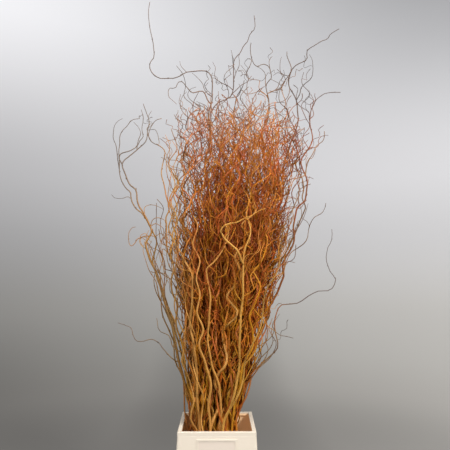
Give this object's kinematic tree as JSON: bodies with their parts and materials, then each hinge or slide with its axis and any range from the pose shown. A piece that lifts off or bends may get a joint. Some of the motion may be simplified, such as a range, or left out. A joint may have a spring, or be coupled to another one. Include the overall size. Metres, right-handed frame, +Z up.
{
  "type": "curly willow branches in a box holder",
  "caption": "Bunch of corkscrew-twisted willow branches with fine winding twigs, standing upright in a tapered square box holder.",
  "frame": {"origin": "centre of the underside of the holder, on the surface it stands on", "axes": "+Z up along the stems; -Y is the front, the holder's side with the raised label frame; +X to the right seen from the front"},
  "size_m": [0.8106, 0.4942, 1.8876],
  "materials": {
    "holder_plastic": "off-white moulded plastic, satin",
    "golden_bark": "smooth olive-gold willow bark with fine lengthwise streaks",
    "amber_bark": "smooth amber-orange willow bark, slightly glossy",
    "russet_bark": "smooth russet willow bark, dull on the older wood"
  },
  "bodies": {
    "root": {"box_holder": "holder_plastic", "branch_front_fork": "golden_bark", "branch_left_bright": "amber_bark", "branch_left_loop": "russet_bark", "branch_left_twin": "golden_bark", "branch_tall_left": "amber_bark", "branch_crown_middle": "russet_bark", "branch_crown_right": "golden_bark", "branch_right_top": "amber_bark", "branch_right_arch": "russet_bark", "branch_right_side": "golden_bark", "branch_middle_bright": "amber_bark", "branch_right_bright": "russet_bark", "branch_left_golden": "golden_bark", "branch_middle_low": "amber_bark", "branch_free_01": "russet_bark", "branch_free_02": "golden_bark", "branch_free_03": "amber_bark", "branch_free_04": "russet_bark", "branch_free_05": "golden_bark", "branch_free_06": "amber_bark", "branch_free_07": "russet_bark", "branch_free_08": "golden_bark", "branch_free_09": "amber_bark", "branch_free_10": "russet_bark", "branch_free_11": "golden_bark", "branch_free_12": "amber_bark", "branch_free_13": "russet_bark", "branch_free_14": "golden_bark", "branch_free_15": "amber_bark", "branch_free_16": "russet_bark", "branch_free_17": "golden_bark", "branch_free_18": "amber_bark", "branch_free_19": "russet_bark", "branch_free_20": "golden_bark", "branch_free_21": "amber_bark", "branch_free_22": "russet_bark", "branch_free_23": "golden_bark", "branch_free_24": "amber_bark"}
  },
  "joints": []
}
